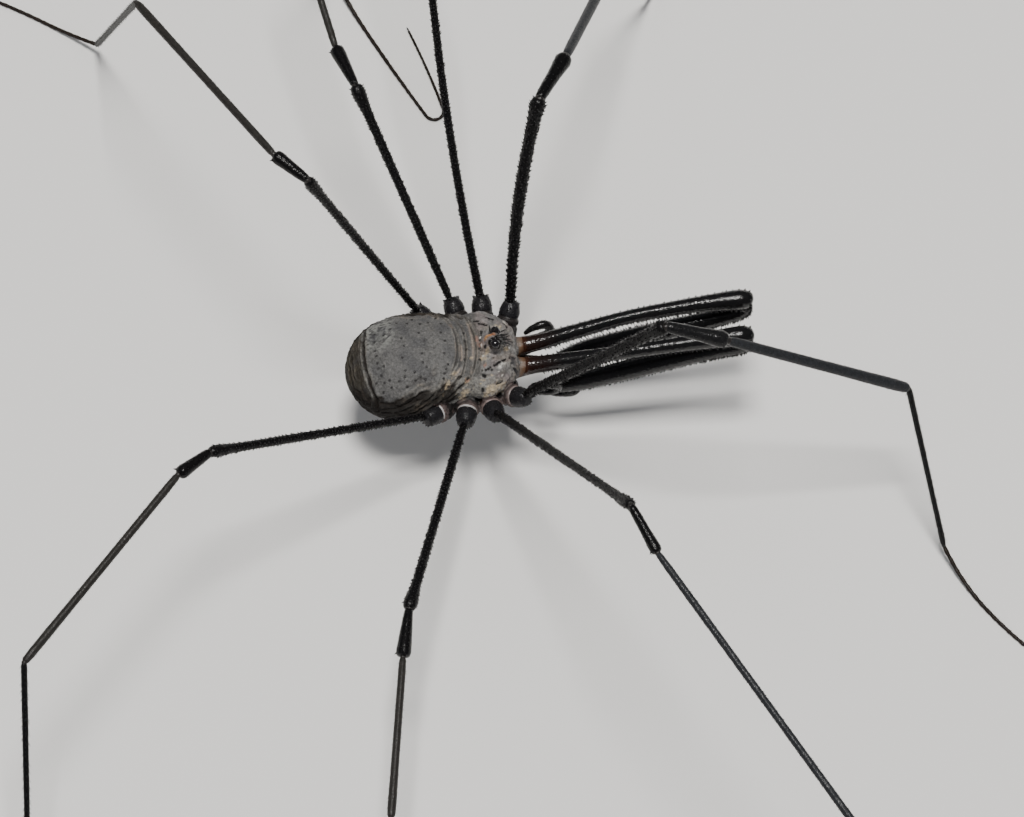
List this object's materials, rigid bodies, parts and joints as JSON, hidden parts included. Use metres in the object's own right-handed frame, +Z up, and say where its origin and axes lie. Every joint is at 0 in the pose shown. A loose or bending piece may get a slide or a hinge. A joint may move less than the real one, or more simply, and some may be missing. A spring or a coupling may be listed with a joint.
{
  "type": "harvestman",
  "caption": "Life-size still model of a male harvestman with long folded chelicerae, standing on its slender legs.",
  "frame": {"origin": "on the floor, under the middle of the box that holds the whole animal with its legs", "axes": "+X toward the head end, +Y to the animal's left, +Z up"},
  "size_m": [0.0652, 0.1104, 0.0165],
  "materials": {
    "body": "finely granular grey cuticle",
    "eye": "wet glossy black",
    "chelicera": "polished black cuticle, red-brown at the root",
    "palp": "satin black cuticle",
    "leg": "granular black cuticle, slate tibiae and brown feet"
  },
  "bodies": {
    "root": {"chelicera_left_basal": "chelicera", "chelicera_left_distal": "chelicera", "chelicera_left_finger": "chelicera", "chelicera_right_basal": "chelicera", "chelicera_right_distal": "chelicera", "chelicera_right_finger": "chelicera", "eye_left": "eye", "eye_right": "eye", "leg_left_1_femur": "leg", "leg_left_1_metatarsus": "leg", "leg_left_1_patella": "leg", "leg_left_1_tarsus": "leg", "leg_left_1_tibia": "leg", "leg_left_1_trochanter": "leg", "leg_left_2_femur": "leg", "leg_left_2_metatarsus": "leg", "leg_left_2_patella": "leg", "leg_left_2_tarsus": "leg", "leg_left_2_tibia": "leg", "leg_left_2_trochanter": "leg", "leg_left_3_femur": "leg", "leg_left_3_metatarsus": "leg", "leg_left_3_patella": "leg", "leg_left_3_tarsus": "leg", "leg_left_3_tibia": "leg", "leg_left_3_trochanter": "leg", "leg_left_4_femur": "leg", "leg_left_4_metatarsus": "leg", "leg_left_4_patella": "leg", "leg_left_4_tarsus": "leg", "leg_left_4_tibia": "leg", "leg_left_4_trochanter": "leg", "leg_right_1_femur": "leg", "leg_right_1_metatarsus": "leg", "leg_right_1_patella": "leg", "leg_right_1_tarsus": "leg", "leg_right_1_tibia": "leg", "leg_right_1_trochanter": "leg", "leg_right_2_femur": "leg", "leg_right_2_metatarsus": "leg", "leg_right_2_patella": "leg", "leg_right_2_tarsus": "leg", "leg_right_2_tibia": "leg", "leg_right_2_trochanter": "leg", "leg_right_3_femur": "leg", "leg_right_3_metatarsus": "leg", "leg_right_3_patella": "leg", "leg_right_3_tarsus": "leg", "leg_right_3_tibia": "leg", "leg_right_3_trochanter": "leg", "leg_right_4_femur": "leg", "leg_right_4_metatarsus": "leg", "leg_right_4_patella": "leg", "leg_right_4_tarsus": "leg", "leg_right_4_tibia": "leg", "leg_right_4_trochanter": "leg", "opisthosoma": "body", "pedipalp_left": "palp", "pedipalp_right": "palp", "prosoma": "body"}
  },
  "joints": []
}
